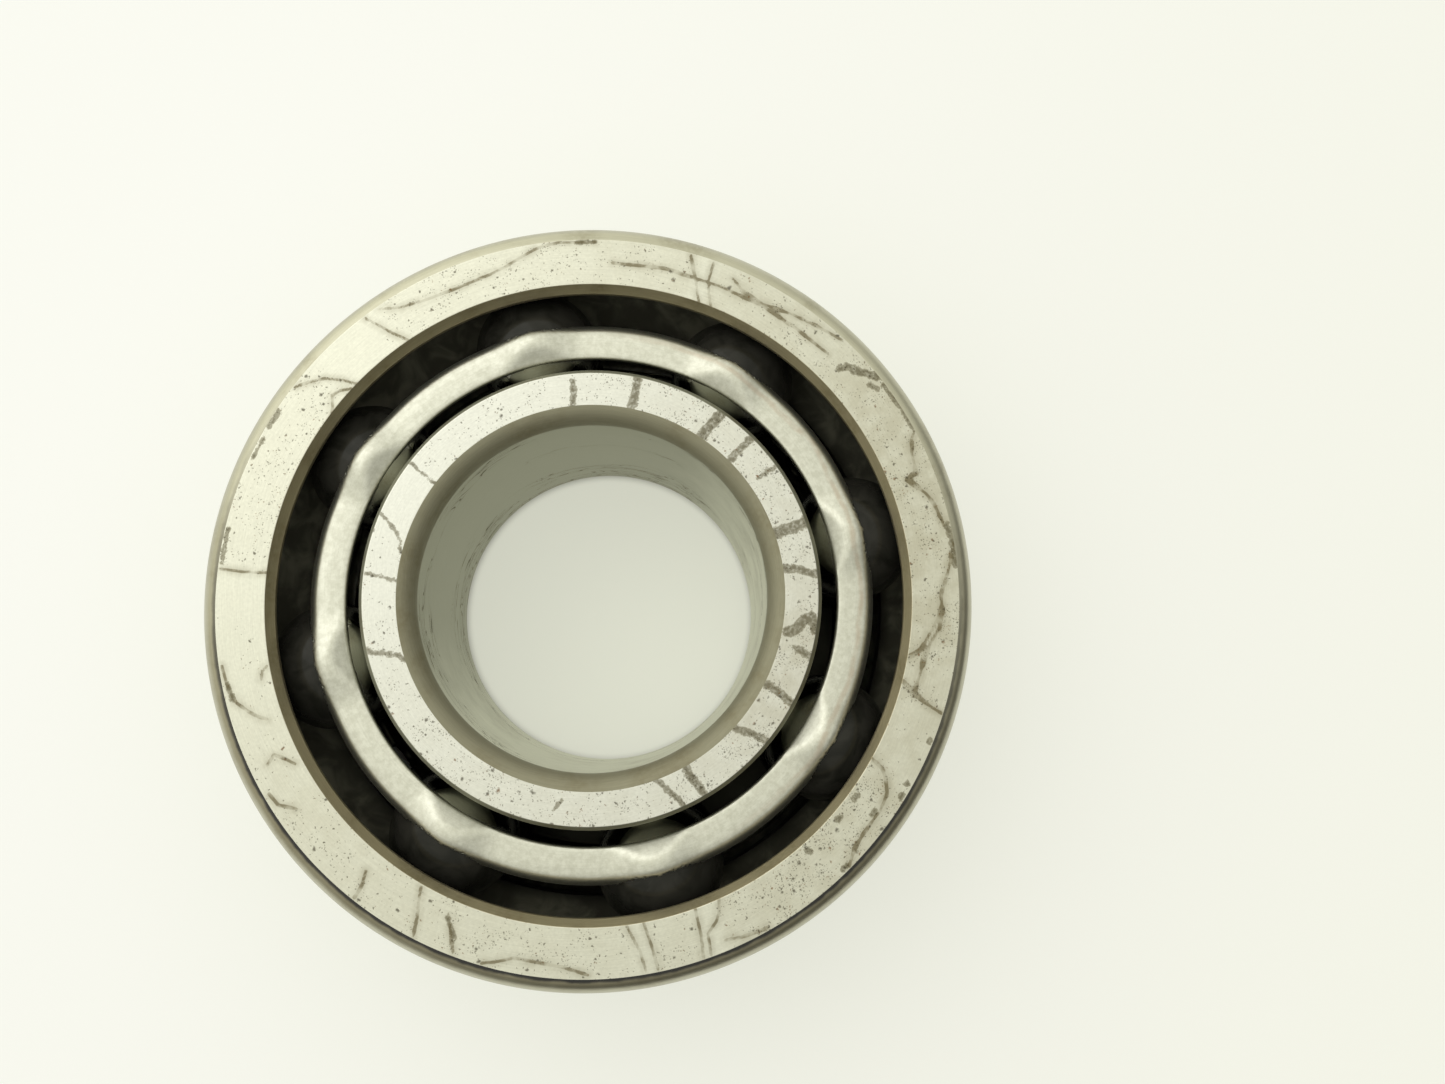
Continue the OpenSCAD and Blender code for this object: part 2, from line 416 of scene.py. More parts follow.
def break_edges(chain):
    """Rounds each marked corner of a profile, with support points on its flats."""
    out = []
    for i, (point, region, sharp) in enumerate(chain):
        if not sharp:
            out.append((point, region))
            continue
        p = np.array(point)
        u = np.array(chain[i - 1][0]) - p
        v = np.array(chain[(i + 1) % len(chain)][0]) - p
        u, v = u / np.linalg.norm(u), v / np.linalg.norm(v)
        past = chain[i - 1][1]
        size = EDGE_BREAK if sharp is True else sharp
        out.append((tuple(p + u * size * EDGE_SUPPORT), past))
        for t in BREAK_STEPS:
            a, b = p + u * size * (1 - t), p + v * size * t
            out.append((tuple(a + (b - a) * t), region if t >= 0.5 else past))
        out.append((tuple(p + v * size * EDGE_SUPPORT), region))
    return out


def along(points, region, first_sharp=True, divisions=1):
    """Straight run from points[0] towards points[1], without its last point."""
    a, b = np.array(points[0]), np.array(points[1])
    run = [tuple(a + (b - a) * i / divisions) for i in range(divisions)]
    return [(p, region, first_sharp if i == 0 else False) for i, p in enumerate(run)]


def curve(points, region, first_sharp=True):
    """Curved run through points, without its last point."""
    return [(p, region, first_sharp if i == 0 else False) for i, p in enumerate(points[:-1])]


def mirrored(half):
    """Closes a profile from its upper half, which starts and ends on the middle plane."""
    lower = []
    for i in range(len(half) - 1, 0, -1):
        (r, z), _, sharp = half[i]
        lower.append(((r, -z), half[i - 1][1], sharp))
    return half + lower


def new_piece(name, vertices, faces, node, body, materials, face_material=None):
    """Makes a mesh of quads in millimetres, which rides on body and replaces node."""
    mesh = bpy.data.meshes.new(name)
    mesh.vertices.add(len(vertices))
    mesh.vertices.foreach_set("co", (np.asarray(vertices) * MM).ravel())
    mesh.loops.add(faces.size)
    mesh.loops.foreach_set("vertex_index", faces.ravel())
    mesh.polygons.add(len(faces))
    mesh.polygons.foreach_set("loop_start", np.arange(0, faces.size, faces.shape[1]))
    if face_material is not None:
        mesh.polygons.foreach_set("material_index", face_material)
    mesh.update(calc_edges=True)
    mesh.validate()
    mesh.shade_smooth()
    for material in materials:
        mesh.materials.append(material)
    piece = bpy.data.objects.new(name, mesh)
    bpy.context.scene.collection.objects.link(piece)
    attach(piece, body)
    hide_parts(node)
    return piece


def lathe(name, half, node, materials):
    """Turns the closed profile made from its upper half round the axis."""
    profile = break_edges(mirrored(half))
    rz = np.array([point for point, _ in profile])
    regions = np.array([region for _, region in profile])
    count = len(rz)
    angles = np.arange(SEGMENTS) * math.tau / SEGMENTS
    x = np.outer(np.cos(angles), rz[:, 0])
    y = np.outer(np.sin(angles), rz[:, 0])
    z = np.tile(rz[:, 1], (SEGMENTS, 1))
    vertices = np.stack([x, y, z], -1).reshape(-1, 3)
    s, p = np.meshgrid(np.arange(SEGMENTS), np.arange(count), indexing="ij")
    s2, p2 = (s + 1) % SEGMENTS, (p + 1) % count
    faces = np.stack([s * count + p, s2 * count + p, s2 * count + p2, s * count + p2], -1).reshape(-1, 4)
    return new_piece(name, vertices, faces, node, node, materials, np.tile(regions, SEGMENTS))


# ---------------------------------------------------------------- materials

STEEL_WARM = (0.69, 0.685, 0.61)
STAIN_BROWN = (0.16, 0.125, 0.055)
BLOT_BROWN = (0.155, 0.135, 0.08)
FILM_BROWN = (0.34, 0.305, 0.21)
SCRATCH_BROWN = (0.13, 0.11, 0.065)
# the next two colours paint the shade line round the outer corner
SHADE_BROWN = (0.22, 0.19, 0.125)
SHADE_BLACK = (0.035, 0.035, 0.04)
DIRT_DARK = (0.07, 0.058, 0.035)
RUST = (0.20, 0.095, 0.03)
CAGE_BRIGHT = (0.65, 0.648, 0.59)
CAGE_DULL = (0.545, 0.542, 0.48)
CAGE_GRAIN = (0.45, 0.445, 0.40)
CAGE_BROWN = (0.45, 0.36, 0.28)
# painted shade for the cage's inside
CAGE_SHADE = (0.035, 0.034, 0.028)
BALL_BRIGHT = (0.34, 0.34, 0.30)
# the next two colours are painted shade on the balls
BALL_SHADE = (0.026, 0.025, 0.022)
BALL_BLACK = (0.012, 0.012, 0.010)
FILM_AND_SHADE_SIDE = math.radians(112)   # where the bore's oil film, with painted shade, is darkest
SHADE_SIDE = math.radians(251)   # where the painted shade line round the outer corner is strongest
SHADE_FADE = 1.2
CAGE_BAND_R = 42.6              # radius of the brown line on the cage
CAGE_INSIDE_R = 43.5            # the sheet is painted dark as shade inside this radius and below its outer surface
BARE_METAL_R = 40.6                  # the balls are bright metal inside this radius and painted dark as shade beyond it
# Cells per mm, share of the cells that hold a speck, its least radius and how much that varies, both in
# cells, and how dark it is.
SPECKS = (
    (0.60, 0.36, 0.10, 0.17, 0.9),
    (1.30, 0.36, 0.14, 0.14, 0.8),
    (2.60, 0.45, 0.18, 0.20, 0.7),
)


def speck_layer(m, crowd, scale, share, least, spread, strength):
    """One speck in some of the cells, each of its own size. crowd says where there are more of them."""
    stray = m.vector("SCALE", m.noise(1.5, 2, colour=True), scale=0.8)
    near, tint = m.cells(scale, at=m.vector("ADD", m.place, stray))
    pick, size, _ = m.split(tint)
    here = m.math("GREATER_THAN", pick, m.math("SUBTRACT", 1.0, m.times(crowd, share)))
    reach = m.math("ADD", least, m.times(size, spread))
    return m.times(m.step(near, least * 0.5, reach, 1, 0), here, strength)


def ground_face(name, base, rough):
    """Ground ring face: fine grinding arcs, oil tide lines, blots, rust specks, soiled areas."""
    m = Shader(name, Metallic=1.0)
    soil, speck = m.attribute("soil"), m.attribute("speck")
    fine = m.noise(2.2, 3)
    coarse = m.noise(0.35, 3)
    grain = m.noise(1.0, 3, 0.7, at=m.round_grain(5.0, 14.0))
    wobble = m.math("SUBTRACT", m.noise(1.1, 3, 0.6), 0.5)

    tide = m.math("ADD", m.attribute("tide"), m.times(wobble, 0.25))
    broad = m.times(soil, m.step(m.noise(0.3, 2), 0.42, 0.65, 0.0, 0.38))
    edge = m.step(m.math("SUBTRACT", m.math("ABSOLUTE", tide), broad), 0.14, 0.34, 1, 0)
    halo = m.step(m.math("ABSOLUTE", tide), 0.1, 1.3, 0.30, 0)
    line = m.times(m.either(edge, halo), m.step(m.noise(0.45, 3), 0.35, 0.62, 0.30, 1.0))
    blot_edge = m.math("ADD", m.attribute("blot"), m.times(wobble, 1.3))
    blot = m.times(m.step(blot_edge, -0.15, 0.15, 1, 0), m.step(m.noise(1.8, 3), 0.25, 0.6, 0.45, 1.0))
    rim = m.step(m.math("ABSOLUTE", blot_edge), 0.05, 0.25, 0.8, 0)

    crowd = m.times(speck, m.step(m.noise(0.30, 4, 0.65), 0.42, 0.64, 0.15, 2.3))
    specks = m.either(*(speck_layer(m, crowd, *layer) for layer in SPECKS))
    rust = m.step(m.noise(0.9, 2), 0.58, 0.66)

    film = m.times(soil, m.step(coarse, 0.30, 0.70, 0.45, 1.0))
    clean = m.mix(m.step(fine, 0.3, 0.7, 0.0, 0.5), base, tuple(c * 0.84 for c in base))
    clean = m.mix(m.times(m.step(grain, 0.35, 0.65), 0.30), clean, tuple(c * 0.70 for c in base))
    filmed = m.mix(m.times(film, 0.66), clean, FILM_BROWN)
    lined = m.mix(m.times(line, 0.74), filmed, STAIN_BROWN)
    blotted = m.mix(m.times(m.either(blot, rim), 0.80), lined, BLOT_BROWN)
    dulled = m.math("ADD", m.times(m.either(specks, blot, line), 0.25), m.times(grain, 0.08))
    m.set(
        Base_Color=m.mix(m.times(specks, 0.80), blotted, m.mix(rust, DIRT_DARK, RUST)),
        Roughness=m.math("ADD", rough, dulled),
    )
    relief = m.math("SUBTRACT", m.times(grain, 0.25), m.times(specks, 0.8))
    m.bump(m.math("ADD", relief, m.times(m.either(line, blot), 0.4)), 0.02, 0.5)
    return m.material


def bore_scratches(m):
    """Thin scratches and scuffs that wander round the bore."""
    lean = m.join(m.times(m.x, 0.045), m.times(m.y, 0.045), m.times(m.z, 0.30))
    contour = m.noise(1.0, 2, 0.5, at=lean, distort=0.2)
    line = m.either(*(
        m.step(m.math("ABSOLUTE", m.math("SUBTRACT", contour, level)), 0.002, 0.008, 1, 0)
        for level in (0.45, 0.50, 0.55)
    ))
    scuff = m.noise(1.1, 4, 0.7, at=m.vector("SCALE", lean, scale=6.0))
    scuff = m.times(m.step(scuff, 0.60, 0.72), 0.6)
    patch = m.noise(1.0, 2, 0.5, at=m.join(m.times(m.x, 0.03), m.times(m.y, 0.03), m.times(m.z, 0.11)))
    broken = m.times(m.step(patch, 0.50, 0.58), m.step(m.math("ABSOLUTE", m.z), 4, 12))
    return m.times(m.either(line, scuff), broken)


def painted_corner_shade(m, colour, start, end):
    """Painted shade: a black line round the outer corner, strongest on one side, that fades out from radius
    start to radius end, brown beyond.
    """
    # painted shade: the line is strongest on one side of the ring
    shade_weight = m.step(m.towards(SHADE_SIDE), -0.6 * OUTSIDE_R, 0.6 * OUTSIDE_R, 0.08, 0.95)
    drift = m.times(m.math("SUBTRACT", m.noise(0.5, 3), 0.5), 0.5)
    reach = m.math("ADD", m.r, drift)
    brown = m.times(m.step(reach, end, end + SHADE_FADE, 0.75, 0), shade_weight)
    black = m.times(m.step(reach, start, end, 1, 0), shade_weight)
    return m.mix(black, m.mix(brown, colour, SHADE_BROWN), SHADE_BLACK)


def ground_round(name, base, rough, grime, film=None, metallic=1.0, corner_shade=None):
    """Ground cylinder or rounded corner: grain round the axis and light grime.

    film is the colour of an oil film with painted shade on one side, and brings scratches. The last
    argument holds the two radii of a painted shade line round the outer corner.
    """
    m = Shader(name, Metallic=metallic)
    grain = m.noise(1.0, 3, 0.7, at=m.round_grain(6.0, 10.0))
    cloud = m.noise(0.12, 4, 0.6)
    dust = m.noise(1.4, 3)
    dirt = m.times(m.step(cloud, 0.45, 0.72), m.step(dust, 0.3, 0.6, 0.4, 1.0), grime)
    colour = m.mix(m.times(m.step(grain, 0.35, 0.65), 0.35), base, tuple(c * 0.72 for c in base))
    colour = m.mix(dirt, colour, STAIN_BROWN)
    relief = m.times(grain, 0.4)
    roughness = m.math("ADD", rough, m.times(grain, 0.12))
    if film:
        # the bore is darker towards one side: an oil film together with painted shade
        drift = m.times(m.math("SUBTRACT", cloud, 0.5), 14.0)
        side = m.step(m.math("ADD", m.towards(FILM_AND_SHADE_SIDE), drift), -0.5 * BORE_R, 0.55 * BORE_R)
        marks = bore_scratches(m)
        colour = m.mix(m.times(marks, 0.85), m.mix(side, colour, film), SCRATCH_BROWN)
        relief = m.math("SUBTRACT", relief, m.times(marks, 0.6))
        roughness = m.math("ADD", roughness, m.times(marks, 0.25))
    # painted shade: a dark line round the outer corner
    if corner_shade:
        colour = painted_corner_shade(m, colour, *corner_shade)
    m.set(Base_Color=colour, Roughness=roughness)
    m.bump(relief, 0.02, 0.5)
    return m.material


def shade_dark_steel(name, base, rough, metallic):
    """Steel painted near-black as the shade inside the bearing, under a clear coat, as in the raceways."""
    m = Shader(name, Metallic=metallic, Coat_Weight=0.2, Coat_Roughness=0.15, IOR=1.4)
    pool = m.noise(0.18, 4, 0.55, distort=0.6)
    grain = m.noise(1.0, 2, 0.6, at=m.round_grain(4.0, 6.0))
    colour = m.mix(m.step(pool, 0.40, 0.68), base, tuple(c * 2.4 for c in base))
    # painted shade: the middle rib, deepest inside the bearing, is darker still
    rib_shade = m.step(m.math("ABSOLUTE", m.z), 1.5, 3.5, 1, 0)
    colour = m.mix(rib_shade, colour, tuple(c * 0.15 for c in base))
    m.set(
        Base_Color=colour,
        Roughness=m.math("ADD", rough, m.math("ADD", m.times(pool, 0.18), m.times(grain, 0.08))),
    )
    m.bump(m.math("ADD", m.times(pool, 0.5), m.times(grain, 0.3)), 0.05, 0.4)
    return m.material


def cage_steel(name):
    """Pressed sheet: satin, mottled, drawn round the ring, with a faint brown line, and painted dark as shade
    inside.
    """
    m = Shader(name, Metallic=1.0)
    mottle = m.noise(0.9, 5, 0.75)
    cloud = m.noise(0.10, 3, 0.5)
    grain = m.noise(1.0, 3, 0.7, at=m.round_grain(4.0, 9.0))
    drift = m.times(m.math("SUBTRACT", cloud, 0.5), 3.0)
    off_band = m.math("SUBTRACT", m.math("ADD", m.r, drift), CAGE_BAND_R)
    band = m.step(m.math("ABSOLUTE", off_band), 0.1, 0.7, 1, 0)
    band = m.times(band, m.step(m.noise(0.5, 3), 0.3, 0.6, 0.35, 1.0), m.step(m.x, 8, 30))
    height = m.math("ABSOLUTE", m.z)
    # painted shade: the sheet darkens deep down, and under the web inside the bend
    deep_shade = m.step(height, WEB_Z - 9.0, WEB_Z - 3.5, 1, 0)
    under_web = m.step(height, WEB_Z - SHEET, WEB_Z - SHEET + 0.3, 1, 0)
    in_bend = m.step(m.r, CAGE_INSIDE_R - 0.2, CAGE_INSIDE_R + 0.2, 1, 0)
    deep_shade = m.either(deep_shade, m.times(under_web, in_bend))
    colour = m.mix(m.step(mottle, 0.35, 0.65, 0.0, 1.0), CAGE_BRIGHT, CAGE_DULL)
    colour = m.mix(m.times(m.step(grain, 0.4, 0.7), 0.25), colour, CAGE_GRAIN)
    colour = m.mix(m.times(band, 0.50), colour, CAGE_BROWN)
    colour = m.mix(deep_shade, colour, CAGE_SHADE)
    m.set(
        Base_Color=colour,
        Roughness=m.math("ADD", 0.26, m.math("ADD", m.times(mottle, 0.12), m.times(grain, 0.10))),
    )
    m.bump(m.math("ADD", m.times(mottle, 0.4), m.times(grain, 0.25)), 0.05, 0.45)
    return m.material


def ball_steel(name):
    """Polished ball: bright metal where it shows inside the cage, painted near-black as shade elsewhere."""
    m = Shader(name)
    film = m.noise(0.22, 3, 0.5, distort=0.8)
    haze = m.noise(3.0, 3)
    bare_metal = m.step(m.math("ADD", m.r, m.times(film, 2.0)), BARE_METAL_R - 1, BARE_METAL_R + 1, 1, 0)
    bare_metal = m.times(bare_metal, m.step(m.math("ABSOLUTE", m.z), 13, 16))
    # painted shade: the rest of the ball is near-black
    ball_shade = m.mix(m.step(film, 0.35, 0.70), BALL_SHADE, BALL_BLACK)
    m.set(
        Base_Color=m.mix(bare_metal, ball_shade, BALL_BRIGHT),
        Metallic=bare_metal,
        Roughness=m.math("ADD", m.step(bare_metal, 0, 1, 0.14, 0.03), m.times(haze, 0.03)),
        IOR=1.27,
    )
    m.bump(film, 0.03, 0.25)
    return m.material


outer_materials = [
    ground_round("outer_side", (0.56, 0.55, 0.49), 0.26, 0.35),
    ground_face("outer_face", STEEL_WARM, 0.34),
    ground_round("outer_lip", (0.46, 0.405, 0.28), 0.40, 0.4, metallic=0.95),
    # the raceways are painted near-black as shade
    shade_dark_steel("outer_raceway", (0.095, 0.092, 0.073), 0.36, 0.10),
    ground_round("outer_corner", (0.54, 0.525, 0.42), 0.29, 0.3, metallic=0.95,
                 corner_shade=(OUTSIDE_R - 2.3, OUTSIDE_R - 1.75)),
]
inner_materials = [
    ground_round("bore_wall", (0.70, 0.70, 0.58), 0.38, 0.25, film=(0.34, 0.34, 0.26)),
    ground_round("bore_corner", (0.29, 0.275, 0.20), 0.55, 0.4, metallic=0.5),
    ground_face("inner_face", (0.735, 0.735, 0.70), 0.34),
    ground_round("shoulder_edge", (0.38, 0.385, 0.315), 0.36, 0.4),
    shade_dark_steel("inner_raceway", (0.03, 0.029, 0.023), 0.36, 0.0),
]
OUTER_SIDE, OUTER_FACE, OUTER_LIP, OUTER_RACE, OUTER_EDGE = range(5)
BORE_WALL, BORE_EDGE, INNER_FACE, SHOULDER_EDGE, INNER_RACE = range(5)

# ---------------------------------------------------------------- rings

outer_corner = corner_arc(OUTSIDE_R, 1, OUTER_CORNER)
lip_edge = (OUTER_SHOULDER_R + LIP_BEVEL[0], HALF_W)
lip_foot = (OUTER_SHOULDER_R, HALF_W - LIP_BEVEL[1])
lip_under = (OUTER_SHOULDER_R, HALF_W - LIP_DEPTH)
recess_top = (RECESS_R, HALF_W - LIP_DEPTH)
outer_groove = groove(1, RECESS_R, OUTER_SHOULDER_R)
outer_half = (
    along([(OUTSIDE_R, 0), outer_corner[0]], OUTER_SIDE, first_sharp=False, divisions=3)
    + curve(outer_corner, OUTER_EDGE, first_sharp=False)
    + along([outer_corner[-1], lip_edge], OUTER_FACE, divisions=OUTER_FACE_STEPS)
    + along([lip_edge, lip_foot], OUTER_LIP, divisions=3)
    + along([lip_foot, lip_under], OUTER_LIP)
    + along([lip_under, recess_top], OUTER_RACE)
    + along([recess_top, outer_groove[0]], OUTER_RACE, first_sharp=False)
    + curve(outer_groove, OUTER_RACE)
    + along([outer_groove[-1], (OUTER_SHOULDER_R, 0)], OUTER_RACE, first_sharp=RIB_BREAK)
)
outer_ring = lathe("outer_ring_look", outer_half, "outer_ring", outer_materials)
paint(outer_ring.data, [(0.0, points) for points in OUTER_TIDES], OUTER_BLOTS, OUTER_SOIL)

bore_corner = corner_arc(BORE_R, -1, BORE_CORNER)
face_edge = (INNER_SHOULDER_R - SHOULDER_CHAMFER, HALF_W)
chamfer_foot = (INNER_SHOULDER_R, HALF_W - SHOULDER_CHAMFER)
inner_groove = groove(-1, INNER_SHOULDER_R, INNER_SHOULDER_R)
inner_half = (
    along([(BORE_R, 0), bore_corner[0]], BORE_WALL, first_sharp=False, divisions=3)
    + curve(bore_corner, BORE_EDGE, first_sharp=False)
    + along([bore_corner[-1], face_edge], INNER_FACE, divisions=INNER_FACE_STEPS)
    + along([face_edge, chamfer_foot], SHOULDER_EDGE)
    + along([chamfer_foot, inner_groove[0]], SHOULDER_EDGE)
    + curve(inner_groove, INNER_RACE)
    + along([inner_groove[-1], (INNER_SHOULDER_R, 0)], INNER_RACE, first_sharp=RIB_BREAK)
)
inner_ring = lathe("inner_ring_look", inner_half, "inner_ring", inner_materials)
paint(inner_ring.data, [], INNER_STREAKS, INNER_SOIL)

# ---------------------------------------------------------------- cages, meshed from a distance field

CELL = 0.33
SHEAR_ROUND = 0.12
MARGIN = 1.0
R_RANGE = (RIM_R - MARGIN, SKIRT_R + SEAT_SWELL + MARGIN)
Z_RANGE = (CLAW_Z - MARGIN, WEB_Z + SEAT_RISE + MARGIN)
SLIDES = 3                   # how often each vertex slides onto the surface
PROBE = 0.01                 # distance over which the field's slope is taken
LEAST_SLOPE = 0.25           # keeps a slide short where the field is flat


def smooth_union(a, b, k):
    """Union of two fields, blended over k where they meet."""
    h = np.maximum(k - np.abs(a - b), 0) / k
    return np.minimum(a, b) - h * h * k / 4


def round_cut(a, b, k):
    """Intersection of two fields with its edge rounded by k."""
    u, v = np.maximum(a + k, 0), np.maximum(b + k, 0)
    return np.minimum(np.maximum(a, b), -k) + np.hypot(u, v)


def cage_field(r, phi, z):
    """Signed distance, about, to the upper cage's sheet. phi is counted from the nearest ball."""
    phi = (phi + STEP / 2) % STEP - STEP / 2

    def cap(edge_r, top_z, bend):
        qr, qz = r - edge_r + bend, z - top_z + bend
        return np.hypot(np.maximum(qr, 0), np.maximum(qz, 0)) + np.minimum(np.maximum(qr, qz), 0) - bend

    # over each ball the web rises from the straight rim, and its outer edge swells
    swell = np.cos(np.minimum(np.abs(phi) / SEAT_HALF_ANGLE, 1) * math.pi / 2) ** 2
    ramp = np.maximum(r - RIM_R - RIM_FLAT, 0) * math.tan(SEAT_SLOPE)
    rise = SEAT_RISE * swell
    top = WEB_Z + smooth_union(rise, ramp, SLOPE_BLEND) - CROWN * np.maximum(r - CROWN_FROM_R, 0) ** 2
    outside = cap(SKIRT_R + SEAT_SWELL * swell, top, BEND_R + SEAT_SWELL * swell)
    sheet = round_cut(outside, -cap(SKIRT_R - SHEET, WEB_Z - SHEET, INNER_BEND_R), SHEAR_ROUND)
    ball = np.sqrt((r * np.cos(phi) - PITCH_R) ** 2 + (r * np.sin(phi)) ** 2 + (z - ROW_Z) ** 2)
    sheet = round_cut(sheet, POCKET_R - ball, SHEAR_ROUND)
    # the seats reach past the skirt only near their tops
    past_skirt = smooth_union(r - SKIRT_R - OVERHANG_GAP, WEB_Z - SEAT_HANG - z, OVERHANG_BLEND)
    sheet = round_cut(sheet, past_skirt, SHEAR_ROUND)
    sheet = round_cut(sheet, RIM_R - r, SHEAR_ROUND)
    sheet = round_cut(sheet, CLAW_Z - z, SHEAR_ROUND)
    side = r * (STEP / 2 - np.abs(phi))
    notch = np.hypot(side, np.maximum(z - CLAW_Z - NOTCH_R, 0)) - NOTCH_R
    return round_cut(sheet, -notch, SHEAR_ROUND)


def net_cells(looped):
    """Which grid cells the surface passes through, and the mean of its crossings with each cell's edges."""
    nr, na, nz = (n - 1 for n in looped.shape)

    def corner(di, dj, dk):
        return looped[di:nr + di, dj:na + dj, dk:nz + dk]

    corners = [(di, dj, dk) for di in (0, 1) for dj in (0, 1) for dk in (0, 1)]
    inside = sum((corner(*c) < 0).astype(int) for c in corners)
    mixed = (inside > 0) & (inside < len(corners))
    total = np.zeros(mixed.shape + (3,))
    crossings = np.zeros(mixed.shape)
    for a in corners:
        for axis in range(3):
            if a[axis]:
                continue
            b = tuple(1 if n == axis else a[n] for n in range(3))
            fa, fb = corner(*a), corner(*b)
            cross = (fa < 0) != (fb < 0)
            t = np.where(cross, fa / np.where(cross, fa - fb, 1), 0)
            for n in range(3):
                total[..., n] += np.where(cross, a[n] + (t if n == axis else 0), 0)
            crossings += cross
    return mixed, total[mixed] / crossings[mixed][:, None]


def slide(polar):
    """Moves the points (r, phi, z) onto the surface, down the field's slope."""
    for _ in range(SLIDES):
        value = cage_field(*polar.T)
        slope = []
        for axis, size in ((0, 1.0), (1, polar[:, 0]), (2, 1.0)):
            shift = np.zeros_like(polar)
            shift[:, axis] = PROBE / size
            rise = cage_field(*(polar + shift).T) - cage_field(*(polar - shift).T)
            slope.append(rise / (2 * PROBE))
        slope = np.stack(slope, 1)
        steepness = np.maximum((slope ** 2).sum(1), LEAST_SLOPE)
        move = np.clip(-value[:, None] * slope / steepness[:, None], -CELL / 2, CELL / 2)
        move[:, 1] /= polar[:, 0]
        polar += move
    return polar


def net_quads(looped, mixed):
    """A quad round every grid edge that crosses the surface, for every ball's share of the cage."""
    count = mixed.sum()
    index = np.full(mixed.shape, -1)
    index[mixed] = np.arange(count)
    quads = []
    for axis in range(3):
        solid = (looped if axis == 1 else looped[:, :-1]) < 0
        cross = np.argwhere(np.diff(solid, axis=axis))
        low = solid[tuple(cross.T)]
        u, v = [n for n in range(3) if n != axis]
        ring = []
        for du, dv in ((0, 0), (1, 0), (1, 1), (0, 1)):
            cell = cross.copy()
            cell[:, u] -= du
            cell[:, v] -= dv
            turn = np.where(cell[:, 1] < 0, -1, 0)
            cell[:, 1] %= mixed.shape[1]
            ring.append((index[tuple(cell.T)], turn))
        flip = low if axis != 1 else ~low
        for s in range(BALL_COUNT):
            quad = np.stack([ids + count * ((s + turn) % BALL_COUNT) for ids, turn in ring], 1)
            quads.append(np.where(flip[:, None], quad[:, ::-1], quad))
    return np.concatenate(quads)


def cage_mesh():
    """Surface nets over one ball's share of the field, repeated round the axis: (vertices, quads)."""
    nr = int((R_RANGE[1] - R_RANGE[0]) / CELL) + 1
    nz = int((Z_RANGE[1] - Z_RANGE[0]) / CELL) + 1
    na = int(STEP * PITCH_R / CELL)
    step = np.array([CELL, STEP / na, CELL])
    origin = np.array([R_RANGE[0], -STEP / 2, Z_RANGE[0]])
    grid = np.meshgrid(np.arange(nr), np.arange(na), np.arange(nz), indexing="ij")
    field = cage_field(*(origin[a] + step[a] * g for a, g in enumerate(grid)))
    looped = np.concatenate([field, field[:, :1]], 1)
    mixed, place = net_cells(looped)
    r, phi, z = slide(origin + step * (np.argwhere(mixed) + place)).T
    turns = [phi + s * STEP for s in range(BALL_COUNT)]
    points = [np.stack([r * np.cos(a), r * np.sin(a), z], 1) for a in turns]
    return np.concatenate(points), net_quads(looped, mixed)


cage_points, cage_quads = cage_mesh()
cage_material = cage_steel("cage_sheet")
new_piece("cage_upper_look", cage_points, cage_quads, "cage_upper", "cage_upper",
          [cage_material])
new_piece("cage_lower_look", cage_points * (1, 1, -1), cage_quads[:, ::-1].copy(), "cage_lower", "cage_lower",
          [cage_material])

# ---------------------------------------------------------------- balls

ball_material = ball_steel("ball_steel_shaded")
for name, node in frame["nodes"].items():
    if name.startswith("ball_"):
        node.data.materials.clear()
        node.data.materials.append(ball_material)
        node.data.shade_smooth()

# ---------------------------------------------------------------- floor, light and world

FLOOR_REACH = 3.0                  # metres
FLOOR_GLOW = 0.50
LIGHT_SIZE = (0.9, 0.8)            # metres
LIGHT_PLACE = (-0.45, 0.65, 0.9)   # metres
LIGHT_POWER = 1.6
LIGHT_TINT = (1.0, 0.995, 0.96)
SKY_TINT = (1.0, 1.0, 0.86)
BRIGHT_SIDE = math.radians(121)
CEILING, CEILING_SWING, CEILING_MOST = 1.12, 0.45, 1.25
HORIZON, HORIZON_SWING, HORIZON_LEAST = 0.58, 0.80, 0.08
HORIZON_TOP, CEILING_FOOT = 0.35, 0.88

floor_mesh = bpy.data.meshes.new("floor")
square = ((-1, -1), (1, -1), (1, 1), (-1, 1))
floor_corners = [(x * FLOOR_REACH, y * FLOOR_REACH, -HALF_W * MM) for x, y in square]
floor_mesh.from_pydata(floor_corners, [], [(0, 1, 2, 3)])
floor = bpy.data.objects.new("floor", floor_mesh)
bpy.context.scene.collection.objects.link(floor)
ground = Shader("floor", Roughness=0.6, Specular_IOR_Level=0.2)
# painted shade: the floor is darker and yellower towards +X and -Y, away from the light's side
slant = ground.math("SUBTRACT", ground.x, ground.times(ground.y, 0.8))
slant = ground.math("ADD", slant, ground.times(ground.noise(0.012, 3), 40.0))
slant_shade = ground.step(slant, -120, 260, smooth=False)
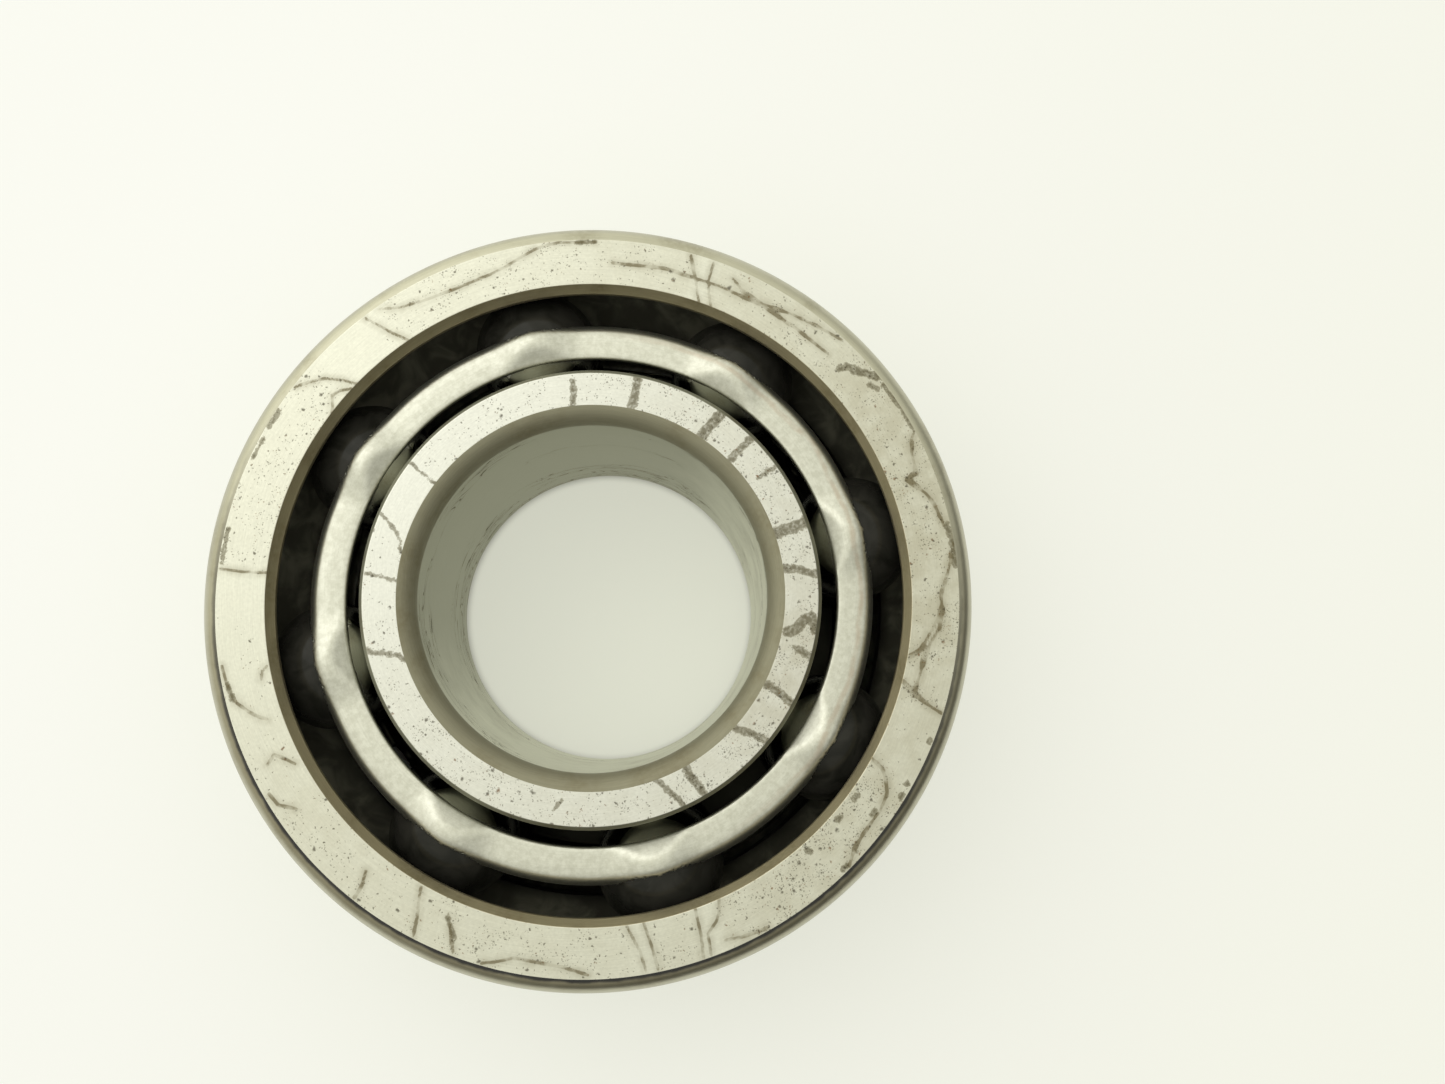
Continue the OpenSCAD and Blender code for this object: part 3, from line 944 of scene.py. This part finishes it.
# the floor doesn't glow under the rings, or it would shine up through the gaps
past_bore = ground.step(ground.r, BORE_R - 1, BORE_R + 2)
under = ground.times(past_bore, ground.step(ground.r, OUTSIDE_R - 4, OUTSIDE_R, 1, 0))
ground.set(
    Base_Color=ground.mix(slant_shade, (0.45, 0.452, 0.45), (0.42, 0.425, 0.385)),
    Emission_Color=ground.mix(ground.step(ground.r, 20, 120, 1, 0), (1.0, 1.0, 0.96), (0.98, 1.0, 0.86)),
    Emission_Strength=ground.math("MULTIPLY_ADD", under, -FLOOR_GLOW, FLOOR_GLOW),
)
floor_mesh.materials.append(ground.material)

light = bpy.data.lights.new("softbox", "AREA")
light.shape = "RECTANGLE"
light.size, light.size_y = LIGHT_SIZE
light.energy = LIGHT_POWER
light.color = LIGHT_TINT
softbox = bpy.data.objects.new("softbox", light)
bpy.context.scene.collection.objects.link(softbox)
softbox.location = LIGHT_PLACE
softbox.rotation_euler = (-Vector(LIGHT_PLACE)).to_track_quat("-Z", "Y").to_euler()

# a bright ceiling over a dimmer horizon, both brighter towards one side
world = bpy.data.worlds.new("studio")
bpy.context.scene.world = world
world.use_nodes = True
sky = world.node_tree
sky.nodes.clear()


def sky_node(kind, *values, **settings):
    node = sky.nodes.new(kind)
    for key, value in settings.items():
        setattr(node, key, value)
    for socket, value in zip(node.inputs, values):
        if isinstance(value, bpy.types.NodeSocket):
            sky.links.new(value, socket)
        else:
            socket.default_value = value
    return node


direction = sky_node("ShaderNodeTexCoord").outputs["Generated"]
towards = sky_node("ShaderNodeVectorMath", direction, (math.cos(BRIGHT_SIDE), math.sin(BRIGHT_SIDE), 0),
                   operation="DOT_PRODUCT").outputs["Value"]
ceiling = sky_node("ShaderNodeMath", towards, CEILING_SWING, CEILING, operation="MULTIPLY_ADD").outputs[0]
ceiling = sky_node("ShaderNodeMath", ceiling, CEILING_MOST, operation="MINIMUM").outputs[0]
horizon = sky_node("ShaderNodeMath", towards, HORIZON_SWING, HORIZON, operation="MULTIPLY_ADD").outputs[0]
horizon = sky_node("ShaderNodeMath", horizon, HORIZON_LEAST, operation="MAXIMUM").outputs[0]
up = sky_node("ShaderNodeSeparateXYZ", direction).outputs["Z"]
glow = sky_node("ShaderNodeMapRange", up, HORIZON_TOP, CEILING_FOOT, horizon, ceiling,
                interpolation_type="SMOOTHSTEP").outputs[0]
background = sky_node("ShaderNodeBackground", (*SKY_TINT, 1), glow)
sky_node("ShaderNodeOutputWorld", background.outputs[0])

bpy.context.scene.view_settings.view_transform = "Standard"
